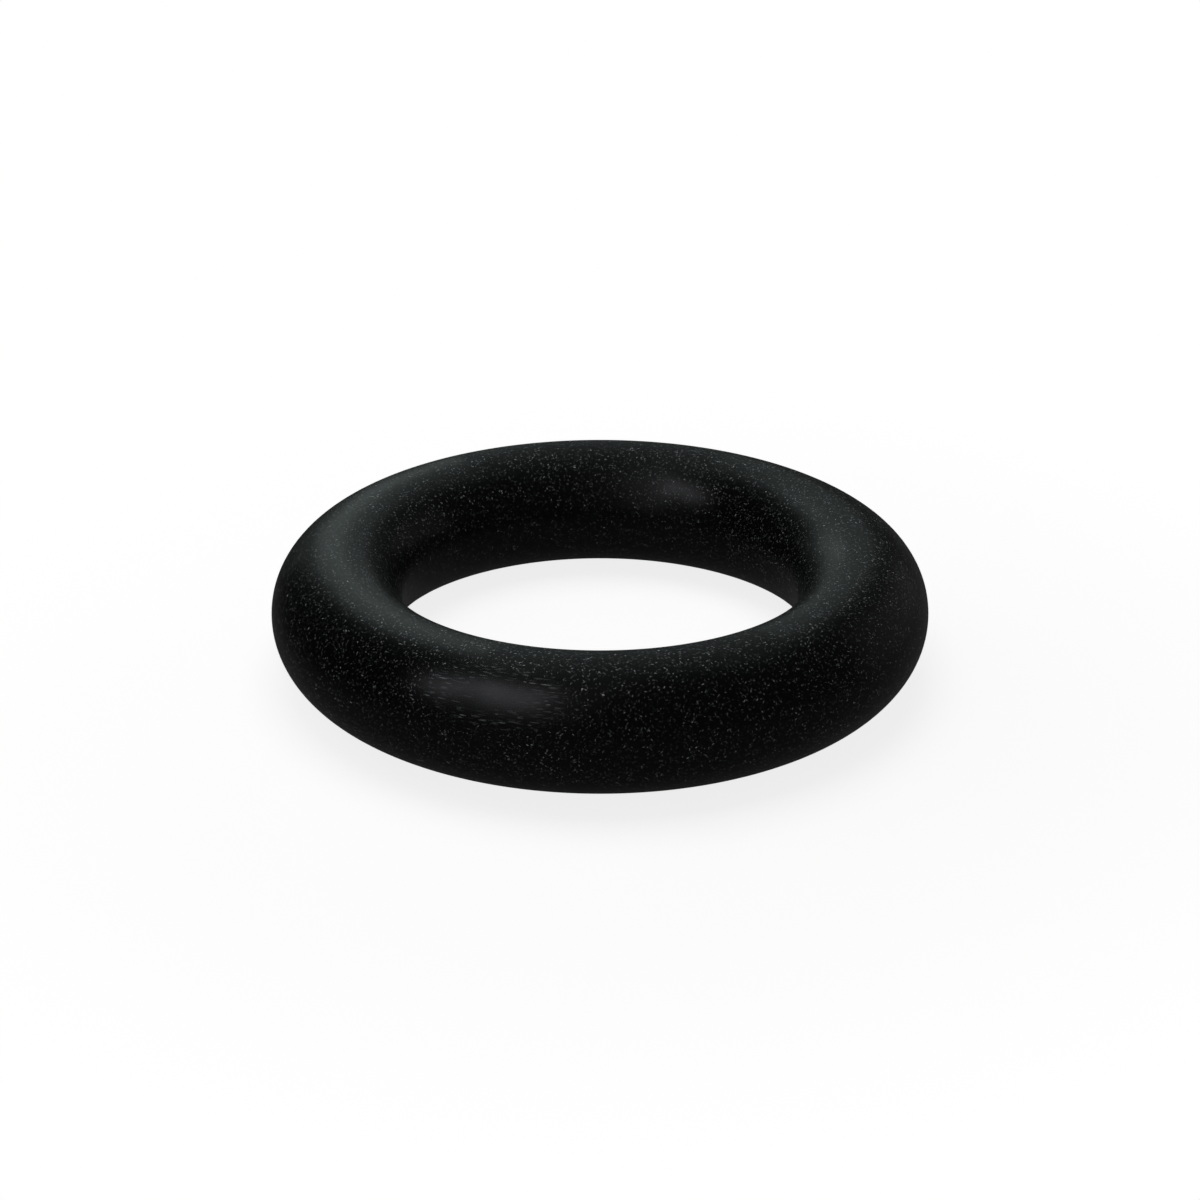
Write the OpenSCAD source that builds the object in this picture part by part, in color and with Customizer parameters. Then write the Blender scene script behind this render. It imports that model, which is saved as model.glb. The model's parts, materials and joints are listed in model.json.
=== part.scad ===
/* [Ring] */
// Diameter of the hole, across the inside of the ring
inside_d = 10.69; // [3:0.01:60]
// Diameter of the ring's round cross-section
section_d = 3.53; // [1:0.01:7]

/* [Hidden] */
// Distance from the ring's axis to the middle of its section
section_centre_r = (inside_d + section_d) / 2;
// Facets once round the ring and once round its section, where it is drawn as a mesh
ring_facets = 180;
section_facets = 64;
rubber_black = [0.07, 0.07, 0.075];

// The moulded ring lies flat, centred on the origin, with its axis along Z.
// Its section is a full circle all the way round, so its skin is a true torus.
module o_ring() {
    color(rubber_black)
        rotate_extrude($fn = ring_facets)
            translate([section_centre_r, 0])
                circle(d = section_d, $fn = section_facets);
}

o_ring();
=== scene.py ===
import json
import math

import bmesh
import bpy
from bpy.props import FloatProperty, FloatVectorProperty, IntProperty, PointerProperty
from mathutils import Matrix, Vector


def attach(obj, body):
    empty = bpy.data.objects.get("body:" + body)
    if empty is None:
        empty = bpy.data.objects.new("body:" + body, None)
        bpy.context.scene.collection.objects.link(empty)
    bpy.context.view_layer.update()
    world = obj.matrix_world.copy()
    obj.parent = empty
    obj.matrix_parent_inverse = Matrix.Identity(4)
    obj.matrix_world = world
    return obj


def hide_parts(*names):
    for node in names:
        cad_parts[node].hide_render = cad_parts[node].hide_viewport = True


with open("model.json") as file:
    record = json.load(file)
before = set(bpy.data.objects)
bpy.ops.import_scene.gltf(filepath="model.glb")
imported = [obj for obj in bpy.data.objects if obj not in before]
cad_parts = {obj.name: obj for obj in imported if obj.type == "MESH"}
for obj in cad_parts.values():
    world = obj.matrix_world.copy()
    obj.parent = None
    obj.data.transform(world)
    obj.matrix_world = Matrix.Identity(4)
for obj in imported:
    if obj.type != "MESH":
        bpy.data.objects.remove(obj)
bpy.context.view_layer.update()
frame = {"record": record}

bl_info = {
    "name": "Rubber O-Ring",
    "version": (1, 0, 0),
    "blender": (4, 5, 0),
    "location": "View3D > Sidebar > O-Ring",
    "description": "Models a moulded black rubber o-ring with a speckled skin, and the studio round it",
    "category": "Add Mesh",
}

MM = 0.001


# Sizes from the frame

def seat_radius(name):
    """The radius, in metres, of one of the ring's two seats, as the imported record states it."""
    mount = next(m for m in frame["record"]["mounts"] if m["name"] == name)
    return mount["dims"]["r_mm"] * MM


HOLE_R = seat_radius("inner_seat")
OUTER_R = seat_radius("outer_seat")
SECTION_R = (OUTER_R - HOLE_R) / 2
RING_R = (OUTER_R + HOLE_R) / 2

# Angles round the ring are in degrees from its front, and grow to the right. Angles round the
# section are in degrees from the outside of the ring, and grow over its top towards the hole.
# The crest is the line along the top of the ring.
CREST_ANGLE = 95.0

# The specks in the skin: half the length and half the width of the smallest and the largest, how
# far off the skin one's middle may lie, as a share of their spacing, how bright they are on
# average, as a share of their full colour, and the share of them that are as bright as any gets
SPECK_HALF_LENGTH = (0.020 * MM, 0.044 * MM)
SPECK_HALF_WIDTH = (0.00944 * MM, 0.01534 * MM)
SPECK_DEPTH = 0.30
SPECK_LIGHT = 0.081
BRIGHTEST_SHARE = 0.001

# The specks are brighter in clouds of this size, and near the crest, where the extra brightness is a
# painted glint of the sheen over the top. The two angles are how far from the crest they are at their
# brightest, and no brighter than elsewhere.
CLOUD_SIZE = 0.35 * MM
CREST_SPECK_GLINT = (12.0, 36.0)

# The rubbed spot: the angles of its middle, half its length and width, and where the plain skin
# takes over, as a share of those. Its streaks: their spacing along and across the ring, and half
# the length and width of the smallest and the largest.
SPOT_RING_ANGLE = -18.0
SPOT_SECTION_ANGLE = 43.0
SPOT_HALF_LENGTH = 1.95 * MM
SPOT_HALF_WIDTH = 0.82 * MM
SPOT_EDGE = (0.80, 1.15)
STREAK_SPACING = (0.34 * MM, 0.075 * MM)
STREAK_HALF_LENGTH = (0.04 * MM, 0.15 * MM)
STREAK_HALF_WIDTH = (0.012 * MM, 0.018 * MM)

# The dull lengths of the crest, one at the front and one at the back: the angle of each one's
# middle, and how far from that, and from the crest, the skin goes over to its plain sheen
DULL_FRONT_MIDDLE = 7.0
DULL_FRONT_EDGE = (27.5, 30.5)
DULL_BACK_MIDDLE = -178.0
DULL_BACK_EDGE = (30.0, 34.0)
DULL_CREST_EDGE = (20.0, 34.0)

# The dull length of the inner wall, under the back one: how far it goes from that one's middle,
# the angle of its own middle and how far from that it fades, and how dull it is next to the rest
DULL_WALL_EDGE = (16.0, 25.0)
DULL_WALL_ANGLE = 142.0
DULL_WALL_HEIGHT = (16.0, 30.0)
DULL_WALL_SHARE = 1.6

# The rubber: the size of its slow changes of depth, and the size, depth and strength of its grain
DEPTH_SIZE = 2.6 * MM
GRAIN_SIZE = 0.09 * MM
GRAIN_DEPTH = 0.004 * MM
GRAIN_STRENGTH = 0.12
RUBBER_IOR = 1.5

# The grey of the soft light all round, and the floor's own grey, which the camera sees as white
SOFT_GREY = (0.22, 0.22, 0.22)
FLOOR_GREY = (0.8, 0.8, 0.8)
WHITE = (1.0, 1.0, 1.0)

# The floor: its radius, how much of the ring's shadow it shows, and how far from the ring's
# centre that shadow fades
FLOOR_R = 12 * OUTER_R
SHADOW_SHARE = 0.17
SHADOW_FADE = (1.4 * OUTER_R, 2.6 * OUTER_R)

# The sheen sees the surround darker far to the left: which way that is, how bright it is there
# next to the rest, and between which two places it gets so, on the walls and on the floor
FAR_LEFT = (-0.88, 0.40, 0.25)
FAR_LEFT_SHARE = 0.35
FAR_LEFT_WALLS = (0.1, 0.9)
FAR_LEFT_FLOOR = (0.9 * OUTER_R, 2.4 * OUTER_R)


# Settings that a user would change

class RingSettings(bpy.types.PropertyGroup):
    """The moulded ring and its rubber."""

    ring_steps: IntProperty(
        name="Steps round the ring", description="Faces once round the ring",
        default=512, min=48, max=700)
    section_steps: IntProperty(
        name="Steps round the section", description="Faces once round the ring's section",
        default=128, min=24, max=140)
    rubber_colour: FloatVectorProperty(
        name="Rubber", description="Colour of the rubber between its specks",
        subtype="COLOR", default=(0.0005, 0.0005, 0.0005), min=0, max=1)
    speck_colour: FloatVectorProperty(
        name="Specks", description="Colour of the pale filler specks in the skin",
        subtype="COLOR", default=(0.37, 0.395, 0.41), min=0, max=1)
    speck_spacing: FloatProperty(
        name="Speck spacing", description="Mean distance between specks",
        unit="LENGTH", default=0.078 * MM, min=0.02 * MM, max=2 * MM)
    roughness: FloatProperty(
        name="Roughness", description="How soft the rubber's sheen is",
        subtype="FACTOR", default=0.278, min=0, max=1)
    dulling: FloatProperty(
        name="Dull lengths", description="Roughness added where the skin came out of the mould duller",
        subtype="FACTOR", default=0.12, min=0, max=0.6)
    stretch: FloatProperty(
        name="Sheen stretch", description="How much softer the sheen is across the ring than along it",
        subtype="FACTOR", default=0.815, min=0, max=1)


class StudioSettings(bpy.types.PropertyGroup):
    """The camera, the floor and the lamps."""

    camera_elevation: FloatProperty(
        name="Camera elevation", description="Angle of the camera above the floor",
        subtype="ANGLE", default=math.radians(25.0))
    camera_distance: FloatProperty(
        name="Camera distance", description="From the ring's centre, in outer radii of the ring",
        default=7.644, min=2)
    lens: FloatProperty(
        name="Lens", description="Focal length on a 36 mm sensor, in millimetres",
        default=74.78, min=10)
    fill_level: FloatProperty(
        name="Fill", description="Brightness of the lamps that light the specks and the floor",
        default=1.0, min=0)
    sheen_level: FloatProperty(
        name="Sheen", description="Brightness of the panels that show in the rubber's sheen",
        default=1.0, min=0)
    floor_in_sheen: FloatProperty(
        name="Floor in the sheen",
        description="How bright the white floor shows in the rubber's sheen",
        subtype="FACTOR", default=0.050, min=0, max=1)
    walls_in_sheen: FloatProperty(
        name="Walls in the sheen",
        description="How bright the white backdrop shows in the rubber's sheen",
        subtype="FACTOR", default=0.028, min=0, max=1)


# Helpers for shader nodes

class Wiring:
    """Adds nodes to one shader tree, each set up in one call."""

    def __init__(self, tree):
        self.tree = tree

    def node(self, kind, **settings):
        """A new node with its options set."""
        made = self.tree.nodes.new(kind)
        for name, value in settings.items():
            setattr(made, name, value)
        return made

    def feed(self, socket, value):
        """Joins another node's output to a socket, or sets the socket to a plain value."""
        if isinstance(value, bpy.types.NodeSocket):
            self.tree.links.new(value, socket)
        else:
            socket.default_value = value

    def math(self, operation, *values, clamp=False):
        """The outcome of one operation on plain numbers."""
        made = self.node("ShaderNodeMath", operation=operation, use_clamp=clamp)
        for socket, value in zip(made.inputs, values):
            self.feed(socket, value)
        return made.outputs[0]

    def vector(self, operation, *values, scale=None):
        """The outcome of one operation on vectors, which is a number for a dot product or a length."""
        made = self.node("ShaderNodeVectorMath", operation=operation)
        for socket, value in zip(made.inputs, values):
            self.feed(socket, value)
        if scale is not None:
            self.feed(made.inputs["Scale"], scale)
        scalar = operation in ("DOT_PRODUCT", "LENGTH", "DISTANCE")
        return made.outputs["Value" if scalar else "Vector"]

    def ramp(self, value, low, high, to_low=0.0, to_high=1.0, smooth=True):
        """Value carried from low..high to to_low..to_high, and held there beyond."""
        made = self.node("ShaderNodeMapRange", clamp=True)
        made.interpolation_type = "SMOOTHSTEP" if smooth else "LINEAR"
        for name, given in (("Value", value), ("From Min", low), ("From Max", high),
                            ("To Min", to_low), ("To Max", to_high)):
            self.feed(made.inputs[name], given)
        return made.outputs["Result"]

    def fade(self, value, near, far):
        """1 where the value is below near, falling to 0 at far."""
        return self.ramp(value, near, far, to_low=1.0, to_high=0.0)

    def blend(self, factor, first, second):
        """A colour between first and second."""
        made = self.node("ShaderNodeMix", data_type="RGBA")
        self.feed(made.inputs["Factor"], factor)
        self.feed(made.inputs[6], first)
        self.feed(made.inputs[7], second)
        return made.outputs[2]


def empty_tree(owner):
    """A node tree with nothing in it, on a material or a world."""
    owner.use_nodes = True
    owner.node_tree.nodes.clear()
    return Wiring(owner.node_tree)


def opaque(colour):
    """A colour with its alpha, as a shader socket takes it."""
    return (*colour, 1.0)


# The rubber

def ring_places(w):
    """Where a point of the skin lies: its position, the way out of it, and its two angles."""
    position = w.node("ShaderNodeTexCoord").outputs["Object"]
    parts = w.node("ShaderNodeSeparateXYZ")
    w.feed(parts.inputs["Vector"], position)
    x, y, z = parts.outputs
    flat = w.vector("MULTIPLY", position, (1, 1, 0))
    radius = w.vector("LENGTH", flat)
    middle = w.vector("SCALE", w.vector("NORMALIZE", flat), scale=RING_R)
    outward = w.vector("NORMALIZE", w.vector("SUBTRACT", position, middle))
    round_ring = w.math("DEGREES", w.math("ARCTAN2", x, w.math("MULTIPLY", y, -1.0)))
    round_section = w.math("DEGREES", w.math("ARCTAN2", z, w.math("SUBTRACT", radius, RING_R)))
    return position, outward, round_ring, round_section


def random_parts(w, source):
    """Three random numbers from 0 to 1 that stay the same all over one cell."""
    noise = w.node("ShaderNodeTexWhiteNoise", noise_dimensions="3D")
    w.feed(noise.inputs["Vector"], source)
    split = w.node("ShaderNodeSeparateColor")
    w.feed(split.inputs["Color"], noise.outputs["Color"])
    return split.outputs


def mostly_faint(w, chance):
    """Brightness of a speck, from 0 to 1. Most are faint and a few are bright."""
    logarithm = w.math("LOGARITHM", w.math("MAXIMUM", chance, BRIGHTEST_SHARE), math.e)
    return w.math("MULTIPLY", logarithm, -SPECK_LIGHT)


def speck_layer(w, position, outward, spacing, seed):
    """Short pale dashes that lie flat in the skin, each with its own heading, size and brightness."""
    shifted = w.vector(
        "ADD", w.vector("SCALE", position, scale=1 / spacing), (seed, 2.3 * seed, 0.7 * seed))
    cells = w.node("ShaderNodeTexVoronoi", voronoi_dimensions="3D", feature="F1")
    w.feed(cells.inputs["Vector"], shifted)
    w.feed(cells.inputs["Scale"], 1.0)
    length_share, width_share, light_share = random_parts(w, cells.outputs["Position"])
    away = w.vector("SUBTRACT", shifted, cells.outputs["Position"])
    depth = w.vector("DOT_PRODUCT", away, outward)
    away = w.vector("SUBTRACT", away, w.vector("SCALE", outward, scale=depth))
    heading = w.vector("SUBTRACT", cells.outputs["Color"], (0.5, 0.5, 0.5))
    heading = w.vector("NORMALIZE", w.vector("CROSS_PRODUCT", heading, outward))
    along = w.vector("DOT_PRODUCT", away, heading)
    across = w.vector("DOT_PRODUCT", away, w.vector("CROSS_PRODUCT", heading, outward))
    half_length = w.ramp(length_share, 0.0, 1.0, *SPECK_HALF_LENGTH, smooth=False)
    half_width = w.ramp(width_share, 0.0, 1.0, *SPECK_HALF_WIDTH, smooth=False)
    shape = dash(w, w.math("MULTIPLY", along, spacing), w.math("MULTIPLY", across, spacing),
                 half_length, half_width)
    near = w.fade(w.math("ABSOLUTE", depth), 0.7 * SPECK_DEPTH, SPECK_DEPTH)
    return w.math("MULTIPLY", w.math("MULTIPLY", shape, near), mostly_faint(w, light_share))


def dash(w, along, across, half_length, half_width):
    """A soft-edged oval, from 1 in its middle to 0 outside."""
    a = w.math("DIVIDE", along, half_length)
    b = w.math("DIVIDE", across, half_width)
    distance = w.math("SQRT", w.math("ADD", w.math("MULTIPLY", a, a), w.math("MULTIPLY", b, b)))
    return w.fade(distance, 0.6, 1.15)


def rubbed_spot(w, round_ring, round_section):
    """The one spot where the skin was rubbed along the ring.

    It gives a place's distances along and across the ring from the spot's middle, in metres, and
    its reach, which is 1 at the spot's edge.
    """
    ahead = w.math("SUBTRACT", round_ring, SPOT_RING_ANGLE)
    ahead = w.math("MULTIPLY", ahead, math.radians(1) * OUTER_R)
    aside = w.math("SUBTRACT", round_section, SPOT_SECTION_ANGLE)
    aside = w.math("MULTIPLY", aside, math.radians(1) * SECTION_R)
    a = w.math("DIVIDE", ahead, SPOT_HALF_LENGTH)
    b = w.math("DIVIDE", aside, SPOT_HALF_WIDTH)
    reach = w.math("SQRT", w.math("ADD", w.math("MULTIPLY", a, a), w.math("MULTIPLY", b, b)))
    return ahead, aside, reach


def streak_layer(w, ahead, aside, seed):
    """Specks drawn out into streaks along the ring."""
    place = w.node("ShaderNodeCombineXYZ")
    w.feed(place.inputs["X"], w.math("ADD", w.math("DIVIDE", ahead, STREAK_SPACING[0]), seed))
    w.feed(place.inputs["Y"], w.math("ADD", w.math("DIVIDE", aside, STREAK_SPACING[1]), seed))
    cells = w.node("ShaderNodeTexVoronoi", voronoi_dimensions="2D", feature="F1")
    w.feed(cells.inputs["Vector"], place.outputs["Vector"])
    w.feed(cells.inputs["Scale"], 1.0)
    length_share, width_share, light_share = random_parts(w, cells.outputs["Position"])
    away = w.node("ShaderNodeSeparateXYZ")
    from_middle = w.vector("SUBTRACT", place.outputs["Vector"], cells.outputs["Position"])
    w.feed(away.inputs["Vector"], from_middle)
    half_length = w.ramp(length_share, 0.0, 1.0, *STREAK_HALF_LENGTH, smooth=False)
    half_width = w.ramp(width_share, 0.0, 1.0, *STREAK_HALF_WIDTH, smooth=False)
    shape = dash(w, w.math("MULTIPLY", away.outputs["X"], STREAK_SPACING[0]),
                 w.math("MULTIPLY", away.outputs["Y"], STREAK_SPACING[1]), half_length, half_width)
    return w.math("MULTIPLY", shape, mostly_faint(w, light_share))


def cloud(w, position, size, detail=2.0):
    """Soft random light and dark about that size, near 0.5."""
    noise = w.node("ShaderNodeTexNoise", noise_dimensions="3D")
    w.feed(noise.inputs["Vector"], position)
    w.feed(noise.inputs["Scale"], 1 / size)
    w.feed(noise.inputs["Detail"], detail)
    return noise.outputs["Fac"]


def apart(w, angle, middle):
    """Degrees from one angle to another, on either side of it."""
    return w.math("ABSOLUTE", w.math("SUBTRACT", angle, middle))


def from_crest(w, round_section):
    """Degrees round the section from the top of the ring, the part that a light overhead shows."""
    return apart(w, round_section, CREST_ANGLE)


def dull_lengths(w, round_ring, round_section):
    """Where the skin came out of the mould duller: two lengths of the crest, one of the inner wall."""
    front = w.fade(apart(w, round_ring, DULL_FRONT_MIDDLE), *DULL_FRONT_EDGE)
    from_back = w.math("SUBTRACT", 180.0, apart(w, round_ring, DULL_BACK_MIDDLE + 180.0))
    back = w.fade(from_back, *DULL_BACK_EDGE)
    crest = w.fade(from_crest(w, round_section), *DULL_CREST_EDGE)
    crest = w.math("MULTIPLY", crest, w.math("MAXIMUM", front, back))
    from_wall = apart(w, round_section, DULL_WALL_ANGLE)
    wall = w.ramp(from_wall, *DULL_WALL_HEIGHT, to_low=DULL_WALL_SHARE, to_high=0.0)
    wall = w.math("MULTIPLY", w.fade(from_back, *DULL_WALL_EDGE), wall)
    return w.math("MAXIMUM", wall, crest)


def rubber_material(ring):
    """Black rubber: a soft sheen over a near-black body, scattered with short pale specks."""
    material = bpy.data.materials.new("black_rubber")
    w = empty_tree(material)
    position, outward, round_ring, round_section = ring_places(w)

    # Two layers with unlike spacings, so that no regular spacing shows
    specks = w.math("ADD", speck_layer(w, position, outward, ring.speck_spacing, seed=3.1),
                    speck_layer(w, position, outward, 1.3 * ring.speck_spacing, seed=11.7))
    gathered = w.ramp(cloud(w, position, CLOUD_SIZE), 0.35, 0.65, to_low=0.75, to_high=1.2)
    # Near the crest the specks are painted brighter, as a painted glint of the sheen over the top of
    # the ring
    crest_glint = w.ramp(from_crest(w, round_section), *CREST_SPECK_GLINT, to_low=1.5, to_high=1.0)
    specks = w.math("MULTIPLY", specks, w.math("MULTIPLY", gathered, crest_glint))

    ahead, aside, reach = rubbed_spot(w, round_ring, round_section)
    specks = w.math("MULTIPLY", specks, w.ramp(reach, *SPOT_EDGE))
    streaks = w.math("ADD", streak_layer(w, ahead, aside, seed=5.3),
                     streak_layer(w, ahead, aside, seed=21.9))
    paler_at_edge = w.ramp(reach, 0.35, 0.85, to_low=0.10, to_high=0.65)
    paler_at_edge = w.math("MULTIPLY", paler_at_edge, w.fade(reach, *SPOT_EDGE))
    streaks = w.math("MULTIPLY", streaks, paler_at_edge)
    specks = w.math("ADD", specks, streaks, clamp=True)

    depth = w.ramp(cloud(w, position, DEPTH_SIZE, detail=3.0), 0.3, 0.7, to_low=0.75, to_high=1.25)
    body = w.vector("SCALE", tuple(ring.rubber_colour), scale=depth)

    grain = w.node("ShaderNodeBump")
    w.feed(grain.inputs["Strength"], GRAIN_STRENGTH)
    w.feed(grain.inputs["Distance"], GRAIN_DEPTH)
    w.feed(grain.inputs["Height"], cloud(w, position, GRAIN_SIZE))

    dulled = w.math("MULTIPLY", dull_lengths(w, round_ring, round_section), ring.dulling)
    skin = w.node("ShaderNodeBsdfPrincipled")
    w.feed(skin.inputs["Base Color"], w.blend(specks, body, opaque(ring.speck_colour)))
    w.feed(skin.inputs["Roughness"], w.math("ADD", ring.roughness, dulled))
    # A quarter turn, so that the sheen is softer across the ring than along it
    w.feed(skin.inputs["Anisotropic"], ring.stretch)
    w.feed(skin.inputs["Anisotropic Rotation"], 0.25)
    w.feed(skin.inputs["IOR"], RUBBER_IOR)
    w.feed(skin.inputs["Normal"], grain.outputs["Normal"])
    out = w.node("ShaderNodeOutputMaterial")
    w.feed(out.inputs["Surface"], skin.outputs["BSDF"])
    return material


# The moulded ring

def moulded_ring(ring):
    """A round section turned once about the ring's axis, which lies flat round the origin."""
    bm = bmesh.new()
    section = bmesh.ops.create_circle(bm, segments=ring.section_steps, radius=SECTION_R)["verts"]
    stand_up = Matrix.Translation((RING_R, 0, 0)) @ Matrix.Rotation(math.pi / 2, 4, "X")
    bmesh.ops.transform(bm, matrix=stand_up, verts=section)
    bmesh.ops.spin(
        bm, geom=bm.verts[:] + bm.edges[:], cent=(0, 0, 0), axis=(0, 0, 1),
        angle=2 * math.pi, steps=ring.ring_steps, use_merge=True)
    bmesh.ops.recalc_face_normals(bm, faces=bm.faces)
    for face in bm.faces:
        face.smooth = True
    mesh = bpy.data.meshes.new("moulded_ring")
    bm.to_mesh(mesh)
    bm.free()
    piece = bpy.data.objects.new("moulded_ring", mesh)
    bpy.context.scene.collection.objects.link(piece)
    return piece


class ORING_OT_moulded_ring(bpy.types.Operator):
    """Build the moulded rubber ring in place of its plain solid"""

    bl_idname = "oring.moulded_ring"
    bl_label = "Moulded Ring"

    def execute(self, context):
        ring = context.scene.oring_ring
        piece = moulded_ring(ring)
        piece.data.materials.append(rubber_material(ring))
        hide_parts("o_ring")
        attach(piece, "root")
        return {"FINISHED"}


# The studio

def from_ring(azimuth, elevation, distance):
    """The point that far from the ring's centre. Azimuth 0 is the camera's, and 90 is to its right."""
    a, e = math.radians(azimuth), math.radians(elevation)
    return Vector((math.sin(a) * math.cos(e), -math.cos(a) * math.cos(e), math.sin(e))) * distance


def aimed(place):
    """The turn that points a lamp or camera at the ring's centre, upright."""
    return (-place).to_track_quat("-Z", "Y").to_matrix().to_4x4()


def panel(name, azimuth, elevation, distance, width, height, level, colour, turn=0.0, shows="sheen"):
    """A flat soft lamp, placed and sized in ring radii, for the sheen alone or fill light alone."""
    lamp = bpy.data.lights.new(name, "AREA")
    lamp.shape = "RECTANGLE"
    lamp.size = width * RING_R
    lamp.size_y = height * RING_R
    lamp.color = colour
    lamp.energy = level * math.pi * lamp.size * lamp.size_y
    holder = bpy.data.objects.new(name, lamp)
    holder.location = from_ring(azimuth, elevation, distance * RING_R)
    turned = aimed(holder.location) @ Matrix.Rotation(math.radians(turn), 4, "Z")
    holder.rotation_euler = turned.to_euler()
    holder.visible_camera = False
    holder.visible_transmission = False
    holder.visible_glossy = shows == "sheen"
    holder.visible_diffuse = shows == "fill"
    bpy.context.scene.collection.objects.link(holder)


VIOLET = (0.93, 0.95, 1.0)
GREEN = (0.83, 1.0, 0.96)
GREY = (0.95, 0.95, 1.0)


def sheen_panels(level):
    """The panels that the rubber's sheen shows."""
    # The numbers are azimuth, elevation, distance, width, height and brightness
    panel("key_side", -60.0, 49.5, 11.0, 2.4, 5.4, 0.92 * level, VIOLET, turn=-11.0)
    panel("key_main", -37.0, 52.0, 11.0, 3.2, 5.4, 0.82 * level, VIOLET, turn=11.0)
    panel("key_soft", -52.0, 48.0, 16.0, 11.0, 10.0, 0.14 * level, VIOLET)
    panel("key_low", -10.9, 55.2, 3.5, 1.2, 4.9, 0.07 * level, VIOLET, turn=-7.5)
    panel("side_left", -156.0, 12.0, 11.0, 4.5, 6.0, 0.055 * level, GREEN)
    panel("back_left", -162.5, 30.9, 10.8, 3.7, 6.7, 0.335 * level, GREEN, turn=-12.0)
    panel("back_low", 180.0, 17.3, 14.4, 8.5, 5.6, 0.17 * level, GREEN, turn=-57.7)
    panel("back_high", 178.8, 52.0, 12.1, 8.8, 9.0, 0.20 * level, GREEN, turn=11.5)
    panel("rim_right", 120.0, 12.0, 11.3, 9.0, 9.0, 0.063 * level, GREY, turn=48.9)


def fill_lamps(level):
    """The lamps that light the specks and the floor but don't show in the sheen."""
    # The numbers are those of the sheen's panels
    panel("fill_top", -160.0, 78.0, 12.0, 9.0, 9.0, 4.1 * level, WHITE, shows="fill")
    panel("fill_left", -115.0, 32.0, 12.0, 8.0, 8.0, 1.6 * level, WHITE, shows="fill")


def background_strength(w, path, in_sheen):
    """White to the camera and through glass, and dimmer in a sheen."""
    dimmed = w.math("MULTIPLY", path.outputs["Is Glossy Ray"], w.math("SUBTRACT", 1.0, in_sheen))
    return w.math("SUBTRACT", 1.0, dimmed)


def sees_background(w, path):
    """1 for the rays that see the background itself, and 0 for those that it only lights."""
    direct = w.math("MAXIMUM", path.outputs["Is Camera Ray"], path.outputs["Is Transmission Ray"])
    return w.math("MAXIMUM", direct, path.outputs["Is Glossy Ray"])


def darker_left(w, place, edge):
    """1 over most of the surround, falling to the darker part far to the left."""
    leftward = w.vector("DOT_PRODUCT", place, FAR_LEFT)
    return w.ramp(leftward, *edge, to_low=1.0, to_high=FAR_LEFT_SHARE)


def studio_world(in_sheen):
    """White to the camera, dimmer in the sheen, and a soft grey light on everything else."""
    world = bpy.data.worlds.new("studio")
    bpy.context.scene.world = world
    w = empty_tree(world)
    path = w.node("ShaderNodeLightPath")
    way = w.node("ShaderNodeTexCoord").outputs["Generated"]
    in_sheen = w.math("MULTIPLY", darker_left(w, way, FAR_LEFT_WALLS), in_sheen)
    white = w.node("ShaderNodeBackground")
    w.feed(white.inputs["Color"], opaque(WHITE))
    w.feed(white.inputs["Strength"], background_strength(w, path, in_sheen))
    soft = w.node("ShaderNodeBackground")
    w.feed(soft.inputs["Color"], opaque(SOFT_GREY))
    mix = w.node("ShaderNodeMixShader")
    w.feed(mix.inputs["Fac"], sees_background(w, path))
    w.feed(mix.inputs[1], soft.outputs["Background"])
    w.feed(mix.inputs[2], white.outputs["Background"])
    out = w.node("ShaderNodeOutputWorld")
    w.feed(out.inputs["Surface"], mix.outputs["Shader"])


def floor_material(in_sheen):
    """A plain pale floor. The camera sees it white, with the ring's faint soft shadow."""
    material = bpy.data.materials.new("pale_floor")
    w = empty_tree(material)
    path = w.node("ShaderNodeLightPath")
    camera_ray = path.outputs["Is Camera Ray"]
    place = w.node("ShaderNodeTexCoord").outputs["Object"]
    shadow = w.ramp(w.vector("LENGTH", place), *SHADOW_FADE, to_low=SHADOW_SHARE, to_high=0.0)
    shadow = w.math("MULTIPLY", camera_ray, shadow)
    in_sheen = w.math("MULTIPLY", darker_left(w, place, FAR_LEFT_FLOOR), in_sheen)
    paint = w.node("ShaderNodeBsdfDiffuse")
    w.feed(paint.inputs["Color"], w.blend(camera_ray, opaque(FLOOR_GREY), opaque(WHITE)))
    white = w.node("ShaderNodeEmission")
    w.feed(white.inputs["Color"], opaque(WHITE))
    w.feed(white.inputs["Strength"], background_strength(w, path, in_sheen))
    mix = w.node("ShaderNodeMixShader")
    w.feed(mix.inputs["Fac"], w.math("SUBTRACT", sees_background(w, path), shadow))
    w.feed(mix.inputs[1], paint.outputs["BSDF"])
    w.feed(mix.inputs[2], white.outputs["Emission"])
    out = w.node("ShaderNodeOutputMaterial")
    w.feed(out.inputs["Surface"], mix.outputs["Shader"])
    return material


def pale_floor(in_sheen):
    """A round floor that the ring lies on."""
    bm = bmesh.new()
    bmesh.ops.create_circle(bm, cap_ends=True, segments=96, radius=FLOOR_R)
    bmesh.ops.translate(bm, vec=(0, 0, -SECTION_R), verts=bm.verts)
    mesh = bpy.data.meshes.new("floor")
    bm.to_mesh(mesh)
    bm.free()
    floor = bpy.data.objects.new("floor", mesh)
    floor.data.materials.append(floor_material(in_sheen))
    bpy.context.scene.collection.objects.link(floor)


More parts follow.
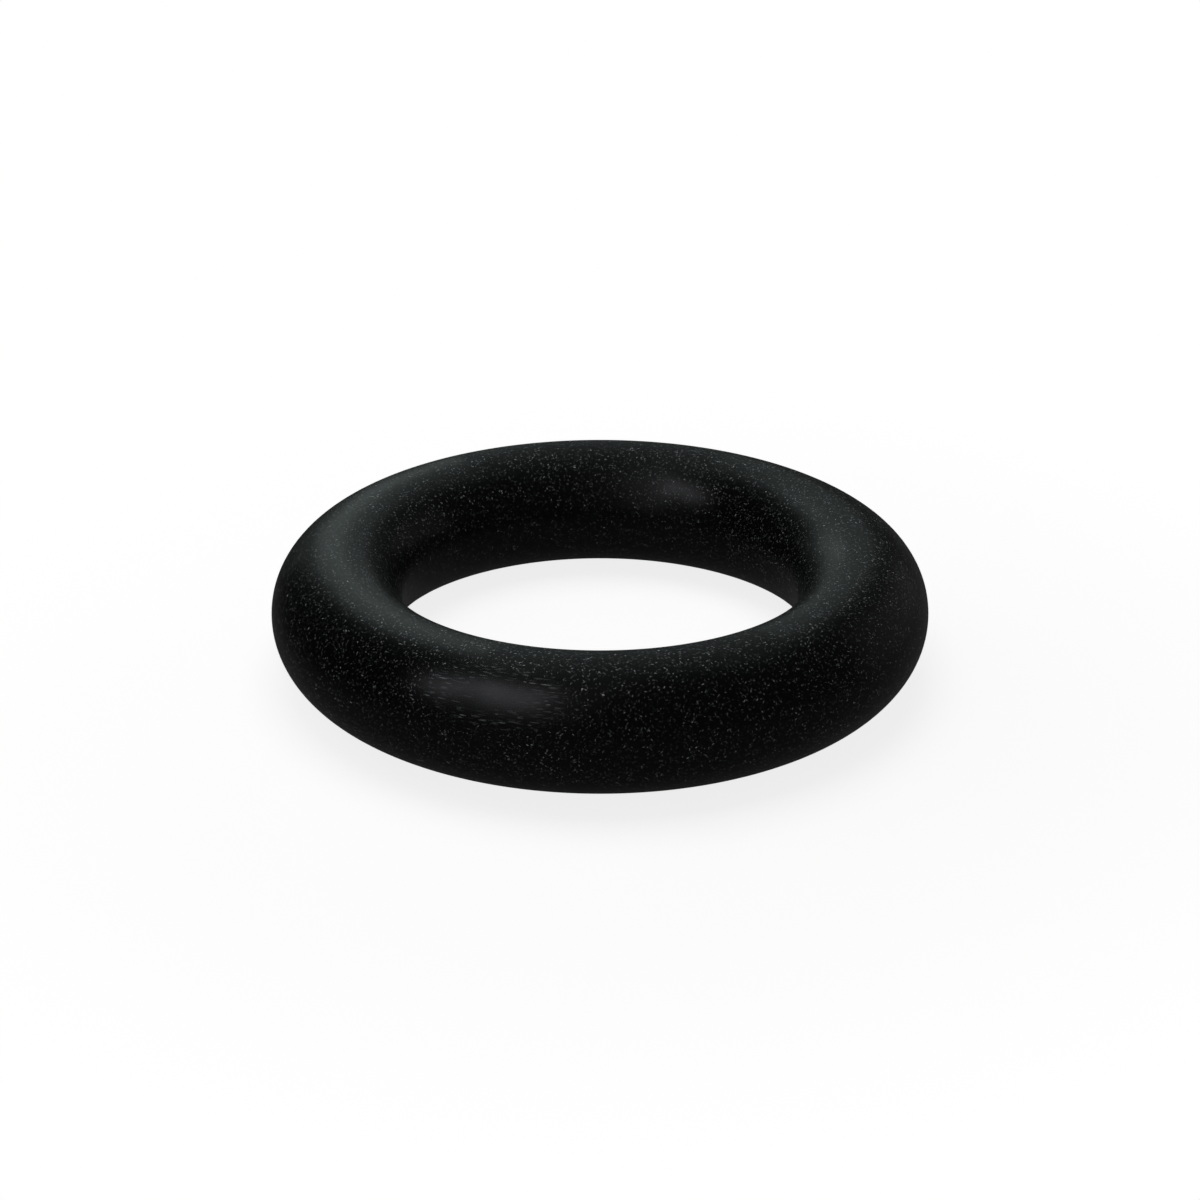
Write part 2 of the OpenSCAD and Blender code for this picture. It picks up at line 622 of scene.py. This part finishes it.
def studio_camera(studio):
    """The camera, aimed at the ring's centre."""
    camera = bpy.data.cameras.new("camera")
    camera.sensor_width = 36.0
    camera.lens = studio.lens
    camera.clip_start = 1 * MM
    camera.clip_end = 1.0
    holder = bpy.data.objects.new("camera", camera)
    elevation = math.degrees(studio.camera_elevation)
    holder.location = from_ring(0, elevation, studio.camera_distance * OUTER_R)
    holder.rotation_euler = aimed(holder.location).to_euler()
    bpy.context.scene.collection.objects.link(holder)
    bpy.context.scene.camera = holder


class ORING_OT_studio(bpy.types.Operator):
    """Set up the pale floor, the lamps, the world and the camera"""

    bl_idname = "oring.studio"
    bl_label = "Studio"

    def execute(self, context):
        studio = context.scene.oring_studio
        pale_floor(studio.floor_in_sheen)
        sheen_panels(studio.sheen_level)
        fill_lamps(studio.fill_level)
        studio_world(studio.walls_in_sheen)
        studio_camera(studio)
        context.scene.view_settings.view_transform = "Standard"
        return {"FINISHED"}


# The sidebar and the run

class ORING_PT_sidebar(bpy.types.Panel):
    """Lists the ring's and the studio's settings and steps"""

    bl_idname = "ORING_PT_sidebar"
    bl_label = "Rubber O-Ring"
    bl_space_type = "VIEW_3D"
    bl_region_type = "UI"
    bl_category = "O-Ring"

    def draw(self, context):
        for settings, step in ((context.scene.oring_ring, ORING_OT_moulded_ring),
                               (context.scene.oring_studio, ORING_OT_studio)):
            box = self.layout.box()
            for name in settings.bl_rna.properties.keys():
                if name not in ("rna_type", "name"):
                    box.prop(settings, name)
            box.operator(step.bl_idname)


CLASSES = (RingSettings, StudioSettings, ORING_OT_moulded_ring, ORING_OT_studio, ORING_PT_sidebar)


def register():
    for cls in CLASSES:
        bpy.utils.register_class(cls)
    bpy.types.Scene.oring_ring = PointerProperty(type=RingSettings)
    bpy.types.Scene.oring_studio = PointerProperty(type=StudioSettings)


def unregister():
    del bpy.types.Scene.oring_studio
    del bpy.types.Scene.oring_ring
    for cls in reversed(CLASSES):
        bpy.utils.unregister_class(cls)


def main():
    register()
    bpy.ops.oring.moulded_ring()
    bpy.ops.oring.studio()


if __name__ == "__main__":
    main()
